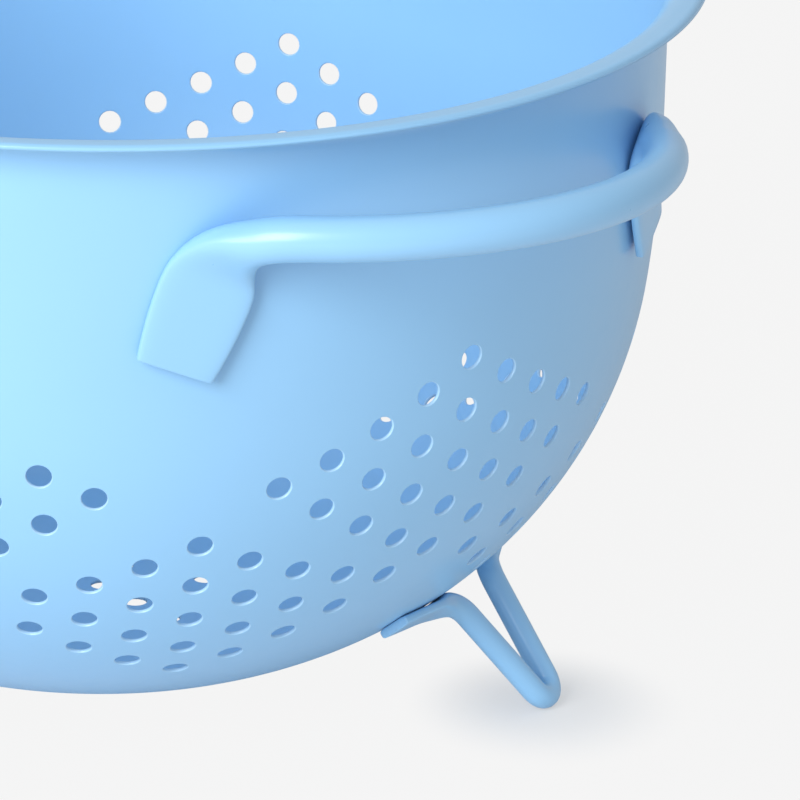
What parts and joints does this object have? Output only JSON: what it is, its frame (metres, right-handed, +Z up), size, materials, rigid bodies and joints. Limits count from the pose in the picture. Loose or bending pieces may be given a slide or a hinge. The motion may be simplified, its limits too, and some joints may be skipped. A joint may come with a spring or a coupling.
{
  "type": "colander",
  "caption": "Free-standing kitchen colander: perforated round bowl with a flat rolled-out rim, bent-rod side handles and splayed wire feet.",
  "frame": {"origin": "on the table under the bowl's axis, at the level of the feet's lowest points", "axes": "+Z up along the bowl's axis, +X through the middle of the right handle, +Y to the side without a handle"},
  "size_m": [0.277, 0.24, 0.148],
  "materials": {
    "coated_sheet": "satin light blue coating over pressed steel sheet, edges of the rim and holes softened by the coat",
    "coated_rod": "satin light blue coating over bent steel rod",
    "coated_wire": "satin light blue coating over bent steel wire"
  },
  "bodies": {
    "root": {"bowl": "coated_sheet", "handle_right": "coated_rod", "handle_left": "coated_rod", "foot_right": "coated_wire", "foot_left": "coated_wire", "foot_front": "coated_wire"}
  },
  "joints": []
}
